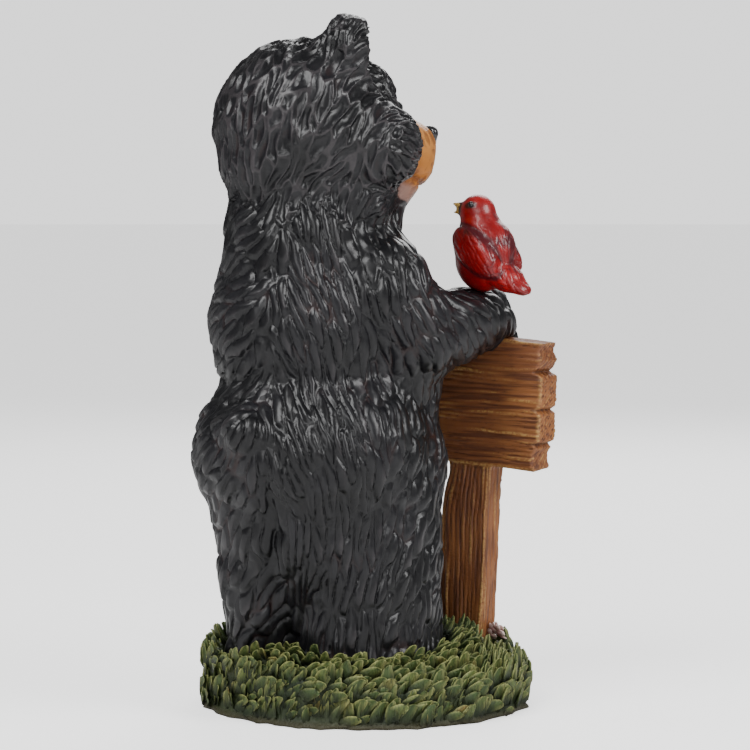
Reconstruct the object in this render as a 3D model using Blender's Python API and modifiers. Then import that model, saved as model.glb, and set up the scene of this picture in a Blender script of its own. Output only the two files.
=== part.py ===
"""A painted cast-resin garden statue: a bear cub on a grass mound leans its arms on a wooden sign,
with a red bird on its paw. Metres, +Z up, the front faces -Y, and the origin is the middle of the
mound's underside. The bear's right side is at -X."""

import math
import random

import bmesh
import bpy
import numpy as np
from mathutils import Euler, Matrix, Vector, kdtree

# The grass mound. Its dome would rise to DOME_RISE, and is flattened at MOUND_HEIGHT.
MOUND_RADIUS = 0.0985
MOUND_HEIGHT = 0.043
RIM_HEIGHT = 0.025
DOME_RISE = 0.066
SEAT_HEIGHT = 0.028
TUFT_LENGTH = 0.026
TUFT_WIDTH = 0.013
TUFT_RELIEF = 0.0040

# Small flowers on the mound, as an angle and a share of its radius. The first stands beside the
# post, the others are along the front.
FLOWER_RADIUS = 0.0075
FLOWER_RISE = 0.027
FLOWER_SPOTS = [(math.radians(-120), 0.90), (math.radians(-75), 0.86), (math.radians(-55), 0.85)]

# The sign: a board across the top of one post, the whole leaning sideways. Its height and place
# follow the bear's arms, given in the bear's steps from its soles.
BOARD_LENGTH = 0.112
BOARD_SHIFT = 0.009
BOARD_HEIGHT = 0.077
BOARD_THICKNESS = 0.0205
POST_WIDTH = 0.029
POST_SETBACK = 0.001
POST_STEPS_ASIDE = 37
SIGN_STEPS_AHEAD = 81
SIGN_STEPS_UP = 185
SIGN_LEAN = math.radians(3.3)
GRAIN_STRIP = 0.0055
GRAIN_RELIEF = 0.0013
NOTCH_DEPTH = 0.0035

# The bear, laid out on a grid of steps from its soles to the tip of its ear.
BEAR_HEIGHT = 0.3725
BEAR_STEPS = 372.5
BEAR_X = 0.010
BEAR_Y = 0.021
HEAD_TURN = math.radians(-34)
HEAD_TILT = math.radians(14)
HEAD_NOD = math.radians(4)
LOCK_LENGTH = 0.032
LOCK_WIDTH = 0.012
LOCK_RELIEF = 0.0030

# The bird, laid out on a grid of steps from its perch to the top of its head.
BIRD_HEIGHT = 0.057
BIRD_STEPS = 55
BIRD_TURN = math.radians(85)
BIRD_HEAD_TURN = math.radians(20)
PERCH_SLOPE = math.radians(-19)
PERCH_SPOT = (-58, -65, 212)
PERCH_STEPS = 33

# Castings meet with a glue gap, and a foot stands in its socket with room round it.
GLUE_GAP = 0.0003
SOCKET_ROOM = 0.0012
CLAY_VOXEL = 0.003
BIRD_VOXEL = 0.0011
BEAR_FACES = 5600
MOUND_FACES = 2000
SOCKET_FACES = 260
BIRD_FACES = 1000

BLACK_PAINT = (0.035, 0.036, 0.042)
GRASS_PAINT = (0.12, 0.19, 0.045)
WOOD_PAINT = (0.30, 0.125, 0.045)
RED_PAINT = (0.55, 0.008, 0.010)

BEAR_GRID = BEAR_HEIGHT / BEAR_STEPS
BIRD_GRID = BIRD_HEIGHT / BIRD_STEPS
PERCH_PAD = PERCH_STEPS * BIRD_GRID
POST_X = BEAR_X - POST_STEPS_ASIDE * BEAR_GRID
SIGN_BACK_Y = BEAR_Y - SIGN_STEPS_AHEAD * BEAR_GRID
BOARD_TOP = SEAT_HEIGHT + SIGN_STEPS_UP * BEAR_GRID
BEAR_FRAME = Matrix.Translation((BEAR_X, BEAR_Y, SEAT_HEIGHT)) @ Matrix.Scale(BEAR_GRID, 4)
HEAD_PIVOT = (5, 19, 305)
HEAD_FRAME = (
    BEAR_FRAME
    @ Matrix.Translation(HEAD_PIVOT)
    @ Matrix.Rotation(HEAD_TURN, 4, "Z")
    @ Matrix.Rotation(HEAD_NOD, 4, "X")
    @ Matrix.Rotation(HEAD_TILT, 4, "Y")
)

# Stations of each limb: x, y, z and radius in the bear's steps.
RIGHT_ARM = [
    (-33, 7, 216, 34),
    (-53, -6, 187, 26),
    (-55, -50, 192, 23),
    (-54, -80, 196, 20),
    (-50, -101, 180, 16),
]
LEFT_ARM = [
    (42, 8, 214, 30),
    (57, -14, 186, 25),
    (22, -60, 190, 22),
    (1, -82, 191, 20),
    (-4, -101, 178, 16),
]

# Each leg stands as an oval column: x, y and the two radii in the bear's steps. The toes stand before it.
RIGHT_LEG = (-28, 3, 39, 50)
LEFT_LEG = (22, 16, 28, 46)
RIGHT_TOES = (-24, -41, 19, 17)
LEFT_TOES = (30, -43, 19, 17)
LEG_TOP = 110
TOE_HEIGHT = 27


def new_collection(name):
    collection = bpy.data.collections.new(name)
    bpy.context.scene.collection.children.link(collection)
    return collection


def move_to(collection, thing):
    for old in list(thing.users_collection):
        old.objects.unlink(thing)
    collection.objects.link(thing)


def paint(thing, name, colour, roughness):
    material = bpy.data.materials.new(name)
    material.use_nodes = True
    shader = material.node_tree.nodes["Principled BSDF"]
    shader.inputs["Base Color"].default_value = (*colour, 1)
    shader.inputs["Roughness"].default_value = roughness
    shader.inputs["Metallic"].default_value = 0
    thing.data.materials.clear()
    thing.data.materials.append(material)


def ball(frame, centre, radii, turn=(0, 0, 0)):
    """One ellipsoid of clay, with its centre and radii in the frame's steps."""
    bpy.ops.mesh.primitive_uv_sphere_add(segments=28, ring_count=18, radius=1)
    made = bpy.context.object
    made.matrix_world = frame @ Matrix.LocRotScale(Vector(centre), Euler(turn), Vector(radii))
    return made


def limb(frame, stations):
    """A tapering roll of clay: the hull of each ball of the chain with the next one."""
    mesh = bpy.data.meshes.new("limb")
    whole = bmesh.new()
    for start, end in zip(stations, stations[1:]):
        part = bmesh.new()
        for x, y, z, radius in (start, end):
            place = Matrix.Translation((x, y, z))
            bmesh.ops.create_uvsphere(part, u_segments=24, v_segments=14, radius=radius, matrix=place)
        hull = bmesh.ops.convex_hull(part, input=part.verts[:])
        inside = [v for v in hull["geom_interior"] if isinstance(v, bmesh.types.BMVert)]
        bmesh.ops.delete(part, geom=inside, context="VERTS")
        loose = [v for v in part.verts if not v.link_faces]
        bmesh.ops.delete(part, geom=loose, context="VERTS")
        bmesh.ops.recalc_face_normals(part, faces=part.faces[:])
        step = bpy.data.meshes.new("limb_step")
        part.to_mesh(step)
        part.free()
        whole.from_mesh(step)
        bpy.data.meshes.remove(step)
    whole.to_mesh(mesh)
    whole.free()
    made = bpy.data.objects.new("limb", mesh)
    bpy.context.scene.collection.objects.link(made)
    made.matrix_world = frame
    return made


def column(frame, oval, low, high):
    """An upright oval column, from the height low to high in the frame's steps."""
    x, y, radius_x, radius_y = oval
    bpy.ops.mesh.primitive_cylinder_add(vertices=40, radius=1, depth=1)
    made = bpy.context.object
    size = Vector((radius_x, radius_y, high - low))
    made.matrix_world = frame @ Matrix.LocRotScale(Vector((x, y, (low + high) / 2)), None, size)
    return made


def block(name, size, matrix):
    """A box of that size, centred in the matrix's frame."""
    bpy.ops.mesh.primitive_cube_add(size=1)
    made = bpy.context.object
    made.name = name
    made.matrix_world = matrix @ Matrix.Diagonal((*size, 1))
    return made


def evaluated(thing):
    """Replaces an object's mesh by its shape with all its modifiers, in world space."""
    graph = bpy.context.evaluated_depsgraph_get()
    mesh = bpy.data.meshes.new_from_object(thing.evaluated_get(graph))
    mesh.transform(thing.matrix_world)
    thing.modifiers.clear()
    thing.data = mesh
    thing.matrix_world = Matrix.Identity(4)
    return thing


def joined(name, pieces):
    bpy.ops.object.select_all(action="DESELECT")
    for piece in pieces:
        piece.select_set(True)
    bpy.context.view_layer.objects.active = pieces[0]
    bpy.ops.object.join()
    made = bpy.context.object
    made.name = name
    return evaluated(made)


def blended(name, pieces, voxel, rounds):
    """Runs the pieces of clay into one skin and smooths the joins."""
    made = joined(name, pieces)
    remesh = made.modifiers.new("one_skin", "REMESH")
    remesh.mode = "VOXEL"
    remesh.voxel_size = voxel
    smooth = made.modifiers.new("smoothed_joins", "SMOOTH")
    smooth.factor = 0.5
    smooth.iterations = rounds
    return evaluated(made)


def reduced(thing, faces):
    """Brings the mesh down to about that many triangles."""
    triangles = sum(len(p.vertices) - 2 for p in thing.data.polygons)
    decimate = thing.modifiers.new("reduced", "DECIMATE")
    decimate.ratio = min(1, faces / triangles)
    return evaluated(thing)


def boolean(thing, other, operation):
    cut = thing.modifiers.new(operation.lower(), "BOOLEAN")
    cut.object = other
    cut.operation = operation


def mesh_arrays(mesh):
    """The mesh's points and their outward directions."""
    count = len(mesh.vertices)
    points = np.empty(count * 3, np.float32)
    normals = np.empty(count * 3, np.float32)
    mesh.vertices.foreach_get("co", points)
    mesh.vertex_normals.foreach_get("vector", normals)
    return points.reshape(-1, 3).astype(float), normals.reshape(-1, 3).astype(float)


def unit(vectors):
    length = np.linalg.norm(vectors, axis=1, keepdims=True)
    return vectors / np.maximum(length, 1e-9)


def along_surface(directions, normals):
    """Turns each direction so that it lies in the surface."""
    inward = (directions * normals).sum(axis=1, keepdims=True)
    return unit(directions - inward * normals)


def scattered(points, spacing, seed):
    """Indices of points picked at random, none of them nearer than the spacing to another."""
    order = list(range(len(points)))
    random.Random(seed).shuffle(order)
    cell = spacing
    taken, picked = {}, []
    for index in order:
        point = points[index]
        key = tuple(int(math.floor(c / cell)) for c in point)
        near = (
            taken.get((key[0] + i, key[1] + j, key[2] + k), ())
            for i in (-1, 0, 1)
            for j in (-1, 0, 1)
            for k in (-1, 0, 1)
        )
        if all(np.linalg.norm(points[other] - point) > spacing for group in near for other in group):
            taken.setdefault(key, []).append(index)
            picked.append(index)
    return picked


def carve_cells(mesh, flow, length, width, relief, seed, fade=None):
    """Carves the skin into long rounded cells that run with the flow, with a groove between them.
    The cells are the nearest regions of scattered middles, measured shorter along than across."""
    points, normals = mesh_arrays(mesh)
    flow = along_surface(flow, normals)
    middles = scattered(points, math.sqrt(length * width) * 0.78, seed)
    tree = kdtree.KDTree(len(middles))
    for slot, index in enumerate(middles):
        tree.insert(points[index], slot)
    tree.balance()
    neighbours = 10
    found = np.array([[hit[1] for hit in tree.find_n(point, neighbours)] for point in points])
    centre = points[middles][found]
    along = flow[middles][found]
    across = np.cross(normals[middles][found], along)
    offset = points[:, None, :] - centre
    far = np.sqrt(
        ((offset * along).sum(axis=2) / length) ** 2 + ((offset * across).sum(axis=2) / width) ** 2
    )
    far = np.sort(far, axis=1)
    rise = np.clip((far[:, 1] - far[:, 0]) * 2.4, 0, 1)
    depth = relief * (1 - rise) ** 1.5
    if fade is not None:
        depth = depth * fade
    moved = points - normals * depth[:, None]
    mesh.vertices.foreach_set("co", moved.astype(np.float32).ravel())
    mesh.update()


def steps_of(points, frame):
    """World points given in a frame's own steps."""
    inverse = np.array(frame.inverted())
    return points @ inverse[:3, :3].T + inverse[:3, 3]


def fur_flow(points):
    """Which way the fur lies: down the body from a parting along the spine, along each arm, and
    back from the face over the head."""
    figure = steps_of(points, BEAR_FRAME)
    spread = np.tanh((figure[:, 0] + 4) / 12)
    behind = np.clip((figure[:, 1] - 5) / 30, 0, 1)
    high = np.clip((figure[:, 2] - 60) / 90, 0.15, 1)
    flow = np.zeros_like(points)
    flow[:, 2] = -1
    flow[:, 0] += 0.75 * spread * behind * high
    for stations in (RIGHT_ARM, LEFT_ARM):
        for start, end in zip(stations, stations[1:]):
            a, b = np.array(start[:3]), np.array(end[:3])
            share = np.clip(((figure - a) @ (b - a)) / ((b - a) @ (b - a)), 0, 1)
            gap = np.linalg.norm(figure - (a + share[:, None] * (b - a)), axis=1)
            weight = np.clip(1.5 - gap / (start[3] + 6), 0, 1)
            direction = (b - a) / np.linalg.norm(b - a) + np.array((0, 0, -0.45))
            flow = flow * (1 - weight[:, None]) + direction * weight[:, None] * 1.2
    head = steps_of(points, HEAD_FRAME)
    in_head = np.clip((figure[:, 2] - 252) / 20, 0, 1)[:, None]
    turn = np.array(HEAD_FRAME.to_3x3().normalized())
    back = head - np.array((0, -62, -8))
    back[:, 1] *= 0.5
    back[:, 2] -= 55 * np.clip((head[:, 1] + 30) / 40, 0, 1)
    return flow * (1 - in_head) + (unit(back) @ turn.T) * in_head


def leg_masses(room):
    """The legs and toes, grown all round by the room given in the bear's steps."""
    masses = []
    for x, y, radius_x, radius_y in (RIGHT_LEG, LEFT_LEG):
        masses.append(column(BEAR_FRAME, (x, y, radius_x + room, radius_y + room), -20, LEG_TOP))
    for x, y, radius_x, radius_y in (RIGHT_TOES, LEFT_TOES):
        masses.append(ball(BEAR_FRAME, (x, y, 0), (radius_x + room, radius_y + room, TOE_HEIGHT + room)))
    return masses


def bear_masses():
    """The bear's body, legs, arms and head, blocked out in clay."""
    body = [
        ball(BEAR_FRAME, (1, 16, 121), (69, 77, 58)),
        ball(BEAR_FRAME, (0, 14, 84), (60, 66, 57)),
        ball(BEAR_FRAME, (2, -4, 118), (55, 58, 54)),
        ball(BEAR_FRAME, (16, 40, 58), (30, 33, 52)),
        ball(BEAR_FRAME, (-22, -10, 152), (38, 46, 48)),
        ball(BEAR_FRAME, (4, 29, 194), (54, 49, 58)),
        ball(BEAR_FRAME, (5, 28, 240), (45, 43, 44)),
        ball(BEAR_FRAME, (-4, -4, 252), (36, 36, 30)),
        ball(BEAR_FRAME, (0, 92, 140), (12, 9, 15), (0.5, 0, 0)),
    ]
    arms = [limb(BEAR_FRAME, RIGHT_ARM), limb(BEAR_FRAME, LEFT_ARM)]
    head = [
        ball(HEAD_FRAME, (0, 2, 1), (53, 52, 52)),
        ball(HEAD_FRAME, (0, 20, -20), (40, 30, 31)),
        ball(HEAD_FRAME, (0, -25, 17), (38, 29, 28)),
        ball(HEAD_FRAME, (0, -54, -4), (20, 28, 16)),
        ball(HEAD_FRAME, (0, -52, -16), (19, 28, 17)),
        ball(HEAD_FRAME, (0, -50, -33), (15, 17, 10)),
    ]
    for side in (-1, 1):
        head.append(ball(HEAD_FRAME, (31 * side, -30, -16), (26, 28, 27)))
    return body + leg_masses(0) + arms + head


def ear_frame(side):
    """The root of one ear on the side of the skull, turned a little outwards."""
    turn = Euler((0.05, 0.40 * side, 0.10 * side))
    return HEAD_FRAME @ Matrix.LocRotScale(Vector((37 * side, -11.5, 27)), turn, None)


def ear(side):
    """One round ear that faces forwards."""
    place = ear_frame(side)
    return [
        ball(place, (0, 2, 12), (20, 16, 20)),
        ball(place, (0, 4, -4), (18, 18, 16)),
    ]


def ear_cup(side):
    return ball(ear_frame(side), (0, -14, 12), (12, 9, 12))


def floor_cutter(name, height):
    """A wide slab whose top is at that height. It cuts a piece off flat."""
    depth = MOUND_HEIGHT + MOUND_RADIUS
    place = Matrix.Translation((0, 0, height - depth / 2))
    return block(name, (6 * MOUND_RADIUS, 6 * MOUND_RADIUS, depth), place)


def cut_away(thing, cutter, cutters):
    """Cuts by a live Boolean, with its cutter kept among the helpers."""
    boolean(thing, cutter, "DIFFERENCE")
    cutters.append(cutter)


def carved_off(thing, cutter):
    """Cuts at once, and removes the cutter."""
    boolean(thing, cutter, "DIFFERENCE")
    evaluated(thing)
    bpy.data.objects.remove(cutter)
    return thing


def sign_frame():
    """The middle of the post's foot, leaning with the sign: its X runs along the board."""
    foot = Matrix.Translation((POST_X, SIGN_BACK_Y - BOARD_THICKNESS / 2, SEAT_HEIGHT))
    return foot @ Matrix.Rotation(-SIGN_LEAN, 4, "Y")


def board_place():
    """The board's middle, a little off the post's own middle."""
    middle = Vector((BOARD_SHIFT, 0, BOARD_TOP - SEAT_HEIGHT - BOARD_HEIGHT / 2))
    return sign_frame() @ Matrix.Translation(middle)


def perch_frame():
    """The spot on the forearm where the bird is glued, with its Z square to the joint."""
    spot = BEAR_FRAME @ Vector(PERCH_SPOT)
    turned = Matrix.Translation(spot) @ Matrix.Rotation(BIRD_TURN, 4, "Z")
    return turned @ Matrix.Rotation(PERCH_SLOPE, 4, "X")


def make_bear(parts, cutters):
    """One casting: the whole figure, cut flat at the soles, where its arms lie on the board and
    where the bird is glued."""
    bear = blended("bear", bear_masses(), CLAY_VOXEL, 14)
    bear = blended("bear", [bear, *ear(-1), *ear(1)], CLAY_VOXEL, 3)
    for side in (-1, 1):
        bear = carved_off(bear, ear_cup(side))
    bear = blended("bear", [bear], CLAY_VOXEL, 2)
    points, _ = mesh_arrays(bear.data)
    head = steps_of(points, HEAD_FRAME)
    figure = steps_of(points, BEAR_FRAME)
    bare_muzzle = np.clip((np.linalg.norm(head - np.array((0, -60, -12)), axis=1) - 24) / 8, 0, 1)
    bare_sole = np.clip((figure[:, 2] - 2) / 10, 0, 1)
    fade = bare_muzzle * bare_sole
    carve_cells(bear.data, fur_flow(points), LOCK_LENGTH, LOCK_WIDTH, LOCK_RELIEF, 4, fade)
    bear = reduced(bear, BEAR_FACES)
    cut_away(bear, floor_cutter("soles_cutter", SEAT_HEIGHT + GLUE_GAP), cutters)
    slot_size = [size + 2 * GLUE_GAP for size in (BOARD_LENGTH, BOARD_THICKNESS, BOARD_HEIGHT)]
    cut_away(bear, block("board_cutter", slot_size, board_place()), cutters)
    above = perch_frame() @ Matrix.Translation((0, 0, PERCH_PAD / 2))
    cut_away(bear, block("perch_cutter", (PERCH_PAD, PERCH_PAD, PERCH_PAD), above), cutters)
    move_to(parts, bear)
    paint(bear, "black_paint", BLACK_PAINT, 0.38)


def make_mound(parts, cutters):
    """One casting: the grass mound with leaf tufts, flower heads and the sockets for the legs
    and the post."""
    level = Matrix.Identity(4)
    rim = column(level, (0, 0, MOUND_RADIUS, MOUND_RADIUS), -RIM_HEIGHT, RIM_HEIGHT)
    crown = (BEAR_X * 0.75, BEAR_Y * 0.6, 0)
    dome = ball(level, crown, (MOUND_RADIUS * 0.935, MOUND_RADIUS, DOME_RISE))
    limit = column(level, (0, 0, MOUND_RADIUS, MOUND_RADIUS), -RIM_HEIGHT, MOUND_HEIGHT)
    boolean(dome, limit, "INTERSECT")
    evaluated(dome)
    bpy.data.objects.remove(limit)
    flowers = []
    for angle, share in FLOWER_SPOTS:
        reach = share * MOUND_RADIUS
        spot = (reach * math.cos(angle), reach * math.sin(angle), FLOWER_RISE)
        flowers.append(ball(level, spot, (FLOWER_RADIUS, FLOWER_RADIUS, FLOWER_RADIUS * 0.8)))
    mound = blended("grass_base", [rim, dome, *flowers], CLAY_VOXEL, 5)
    points, normals = mesh_arrays(mound.data)
    flow = unit(points * np.array((1, 1, 0)))
    swirl = np.stack((-flow[:, 1], flow[:, 0], np.zeros(len(points))), axis=1)
    turn = np.sin(points[:, 0] * 70 + 2) + np.cos(points[:, 1] * 60)
    flow = flow + swirl * 0.6 * turn[:, None] - np.array((0, 0, 0.6))
    carve_cells(mound.data, flow, TUFT_LENGTH, TUFT_WIDTH, TUFT_RELIEF, 8)
    mound = reduced(mound, MOUND_FACES)
    cut_away(mound, floor_cutter("underside_cutter", 0), cutters)
    legs = blended("leg_socket_cutter", leg_masses(SOCKET_ROOM / BEAR_GRID + 1), CLAY_VOXEL, 14)
    legs = reduced(legs, SOCKET_FACES)
    cut_away(mound, carved_off(legs, floor_cutter("seat_cutter", SEAT_HEIGHT)), cutters)
    post = post_block("post_socket_cutter", SOCKET_ROOM)
    cut_away(mound, carved_off(post, floor_cutter("foot_cutter", SEAT_HEIGHT)), cutters)
    move_to(parts, mound)
    paint(mound, "grass_paint", GRASS_PAINT, 0.6)


def post_block(name, room):
    """The post's outer size, grown sideways by the room given, running well below the seat."""
    length = BOARD_TOP - BOARD_HEIGHT / 2
    size = (POST_WIDTH + 2 * room, BOARD_THICKNESS - 2 * POST_SETBACK + 2 * room, length)
    return block(name, size, sign_frame() @ Matrix.Translation((0, 0, length / 2 - SEAT_HEIGHT)))


def grained(wood, size, place, strips, lengths, seed):
    """Splits a box into strips along its X and sets each one in or out a little, with notched ends.
    Every point moves inwards, so the piece stays inside its box."""
    noise = random.Random(seed)
    mesh = bmesh.new()
    bmesh.ops.create_cube(mesh, size=1, matrix=Matrix.Diagonal((*size, 1)))
    for axis, count in ((0, lengths), (2, strips)):
        for step in range(1, count):
            cut = Vector((0, 0, 0))
            cut[axis] = size[axis] * (step / count - 0.5)
            normal = Vector((0, 0, 0))
            normal[axis] = 1
            everything = mesh.verts[:] + mesh.edges[:] + mesh.faces[:]
            bmesh.ops.bisect_plane(mesh, geom=everything, plane_co=cut, plane_no=normal)
    strip_in = [noise.uniform(0, 1) ** 2 for _ in range(strips + 1)]
    notch_in = [noise.choice((0, 0, 0.3, 1)) for _ in range(strips + 1)]
    for vert in mesh.verts:
        strip = round((vert.co.z / size[2] + 0.5) * strips)
        rough = strip_in[strip] * 0.7 + noise.uniform(0, 0.3)
        vert.co.y -= math.copysign(GRAIN_RELIEF * rough, vert.co.y)
        if abs(vert.co.x) > size[0] * 0.49:
            at_edge = 0.5 if strip in (0, strips) else notch_in[strip]
            vert.co.x -= math.copysign(NOTCH_DEPTH * at_edge, vert.co.x)
        if strip in (0, strips):
            vert.co.z -= math.copysign(GRAIN_RELIEF * noise.uniform(0, 1), vert.co.z)
    mesh.to_mesh(wood.data)
    mesh.free()
    wood.matrix_world = place
    return wood


def make_sign(parts, cutters):
    """One casting: the board and its post, both with split grain."""
    board_size = (BOARD_LENGTH, BOARD_THICKNESS, BOARD_HEIGHT)
    board = block("sign", board_size, board_place())
    strips = round(BOARD_HEIGHT / GRAIN_STRIP)
    board = evaluated(grained(board, board_size, board_place(), strips, 7, 11))
    post = post_block("post", 0)
    length = BOARD_TOP - BOARD_HEIGHT / 2
    middle = sign_frame() @ Matrix.Translation((0, 0, length / 2 - SEAT_HEIGHT))
    upright = middle @ Matrix.Rotation(math.radians(90), 4, "Y")
    post_size = (length, BOARD_THICKNESS - 2 * POST_SETBACK, POST_WIDTH)
    post = evaluated(grained(post, post_size, upright, round(POST_WIDTH / GRAIN_STRIP), 8, 12))
    boolean(board, post, "UNION")
    evaluated(board)
    bpy.data.objects.remove(post)
    cut_away(board, floor_cutter("post_foot_cutter", SEAT_HEIGHT + GLUE_GAP), cutters)
    move_to(parts, board)
    paint(board, "wood_paint", WOOD_PAINT, 0.55)


def make_bird(parts, cutters):
    """One casting: the perched bird with folded wings and an open beak, flat where it is glued."""
    upright = Matrix.Rotation(-PERCH_SLOPE, 4, "X")
    frame = perch_frame() @ upright @ Matrix.Scale(BIRD_GRID, 4)
    head = frame @ Matrix.Translation((0, 1.5, 43.5)) @ Matrix.Rotation(BIRD_HEAD_TURN, 4, "Z")
    masses = [
        ball(frame, (0, 7, 20), (15, 18.5, 21), (-0.30, 0, 0)),
        ball(frame, (0, 3.5, 35), (11.5, 12.5, 12)),
        ball(head, (0, 0, 0), (10, 10.5, 11)),
        ball(frame, (0, 19, 9), (10.5, 15, 8.5), (-0.50, 0, 0)),
        ball(frame, (0, 25, 4.5), (8.5, 13.5, 5), (-0.40, 0, 0)),
    ]
    for side in (-1, 1):
        masses.append(ball(frame, (11 * side, 7, 22), (6.5, 19.5, 12), (-0.70, 0, -0.10 * side)))
    bird = blended("bird", masses, BIRD_VOXEL, 3)
    beak = [
        limb(head, [(0, -8, 3.6, 3.0), (0, -14.5, 5.5, 0.8)]),
        limb(head, [(0, -8, 1.2, 2.6), (0, -14, 0.6, 0.8)]),
    ]
    bird = blended("bird", [bird, *beak], BIRD_VOXEL, 1)
    bird = reduced(bird, BIRD_FACES)
    below = perch_frame() @ Matrix.Translation((0, 0, GLUE_GAP - PERCH_PAD / 2))
    cut_away(bird, block("glue_cutter", (PERCH_PAD, PERCH_PAD * 0.9, PERCH_PAD), below), cutters)
    move_to(parts, bird)
    paint(bird, "red_paint", RED_PAINT, 0.22)


def main():
    for old in list(bpy.data.objects):
        bpy.data.objects.remove(old)
    parts = new_collection("bear_garden_statue")
    helpers = new_collection("cutters")
    cutters = []
    make_bear(parts, cutters)
    make_mound(parts, cutters)
    make_sign(parts, cutters)
    make_bird(parts, cutters)
    for cutter in cutters:
        move_to(helpers, cutter)
        cutter.hide_render = True
        cutter.display_type = "WIRE"


main()
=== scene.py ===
import math

import bmesh
import bpy
import numpy as np
from mathutils import Euler, Matrix, Vector, kdtree
from mathutils import noise as field


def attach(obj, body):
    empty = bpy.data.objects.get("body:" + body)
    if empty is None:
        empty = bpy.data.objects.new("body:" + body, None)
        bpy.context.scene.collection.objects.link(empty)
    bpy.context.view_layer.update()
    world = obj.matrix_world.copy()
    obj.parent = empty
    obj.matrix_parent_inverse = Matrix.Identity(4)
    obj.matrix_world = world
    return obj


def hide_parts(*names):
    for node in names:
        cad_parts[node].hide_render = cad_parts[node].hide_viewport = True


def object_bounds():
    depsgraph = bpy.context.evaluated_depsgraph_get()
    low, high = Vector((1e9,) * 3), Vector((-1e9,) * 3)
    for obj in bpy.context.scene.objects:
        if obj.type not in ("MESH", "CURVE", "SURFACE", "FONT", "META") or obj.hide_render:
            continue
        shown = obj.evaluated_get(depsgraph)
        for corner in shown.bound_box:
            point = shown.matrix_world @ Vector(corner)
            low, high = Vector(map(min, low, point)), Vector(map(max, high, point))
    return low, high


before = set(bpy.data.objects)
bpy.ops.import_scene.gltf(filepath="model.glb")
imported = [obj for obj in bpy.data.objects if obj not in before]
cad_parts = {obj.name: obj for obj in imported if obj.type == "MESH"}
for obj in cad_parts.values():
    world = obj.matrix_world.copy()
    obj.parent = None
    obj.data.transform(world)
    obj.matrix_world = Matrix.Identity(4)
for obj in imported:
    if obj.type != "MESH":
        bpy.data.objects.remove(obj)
CAD_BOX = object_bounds()

# The bear is one hollow resin casting from a clay original. Its fur was pressed in with a tool, in long
# bent locks on the body and in scoops with thin raised rims on the head. It is painted black with a
# grey brush over the rims, and its muzzle is tan over a pinkish chin.
BEAR_SEAT = Vector((0.010, 0.021, 0.028))
SKIN_VOXEL = 0.003
WELD_GAP = 0.00001
COAT_RUBS = 36
COAT_TRIANGLES = 197000
COAT_SEED = 5
HEAD_CENTRE = BEAR_SEAT + Vector((0.005, 0.019, 0.305))
HEAD_TURN = math.radians(-34)
HEAD_NOD = math.radians(4)
HEAD_TILT = math.radians(14)
HEAD = (
    Matrix.Translation(HEAD_CENTRE)
    @ Matrix.Rotation(HEAD_TURN, 4, "Z")
    @ Matrix.Rotation(HEAD_NOD, 4, "X")
    @ Matrix.Rotation(HEAD_TILT, 4, "Y")
)
MUZZLE_MIDDLE = (0, -0.063, -0.014)
MUZZLE_REACH = (0.0250, 0.033, 0.0330)
EYE_SPOT = (0.0150, -0.0505, 0.0130)
EYE_RADIUS = 0.0048
SOCKET_RADIUS = 0.0075
SOCKET_DEPTH = 0.0042
SOCKET_WIDENING = 1.3
EYELID_RADIUS = 0.0095
EYELID_WIDTH = 0.0035
MOUTH_RISE = -0.0285
MOUTH_CURVE = 9.0
MOUTH_DEPTH = 0.0020
LIP_WIDTH = 0.0014
NOSE_LINE_WIDTH = 0.0010
CHIN_FALL = 0.0300
CHIN_HEIGHT = 0.0080
FILLS = (
    ((-0.012, 0.033, 0.296), (0.024, 0.028, 0.024)),
    ((-0.017, 0.013, 0.140), (0.038, 0.044, 0.046)),
    ((0.014, 0.038, 0.052), (0.020, 0.027, 0.038)),
)
CALM_MIDDLE = (0.008, 0.050, 0.126)
CALM_REACH = 0.032
CALM_SHARE = 0.62
BOX_ROOM = 0.0001
LOCK_SIZE = (0.0250, 0.0071)
HEAD_LOCK_SIZE = (0.0210, 0.0064)
LOCK_DEPTH = 0.0019
LOCK_RISE = 0.0007
LOCK_TURN = 0.16
LOCK_BEND = 0.52
LOCK_WAVE = 3.4
MARK_SPREAD = 0.80
NEAREST_MARKS = 14
HEAD_FROM = 0.290
CREASE_DEPTH = 0.0045
CREASE_WIDTH = 0.0050
CREASE_FOOT_X = 0.0080
CREASE_LEAN = 0.0125
SHOULDERS = {"right": (-0.033, 0.007, 0.216), "left": (0.042, 0.008, 0.214)}
ELBOWS = {"right": (-0.053, -0.006, 0.187), "left": (0.057, -0.014, 0.186)}
WRISTS = {"right": (-0.054, -0.080, 0.196), "left": (0.001, -0.082, 0.191)}
PAWS = {"right": (-0.050, -0.101, 0.180), "left": (-0.004, -0.101, 0.178)}
ARM_WIDTHS = (0.036, 0.027, 0.024)


def plain(piece):
    """Turns an object and its modifiers into a plain mesh at the origin."""
    graph = bpy.context.evaluated_depsgraph_get()
    mesh = bpy.data.meshes.new_from_object(piece.evaluated_get(graph))
    mesh.transform(piece.matrix_world)
    piece.modifiers.clear()
    piece.data = mesh
    piece.matrix_world = Matrix.Identity(4)
    return piece


def skin_of(node, name, voxel, fills=()):
    """The surface of a solid as one even mesh, with clay balls added where it is filled."""
    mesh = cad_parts[node].data.copy()
    welded = bmesh.new()
    welded.from_mesh(mesh)
    bmesh.ops.remove_doubles(welded, verts=welded.verts, dist=WELD_GAP)
    for middle, reach in fills:
        place = Matrix.Translation(middle) @ Matrix.Diagonal((*reach, 1))
        bmesh.ops.create_icosphere(welded, subdivisions=4, radius=1, matrix=place)
    welded.to_mesh(mesh)
    welded.free()
    piece = bpy.data.objects.new(name, mesh)
    bpy.context.scene.collection.objects.link(piece)
    remesh = piece.modifiers.new("even", "REMESH")
    remesh.mode = "VOXEL"
    remesh.voxel_size = voxel
    return plain(piece)


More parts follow.
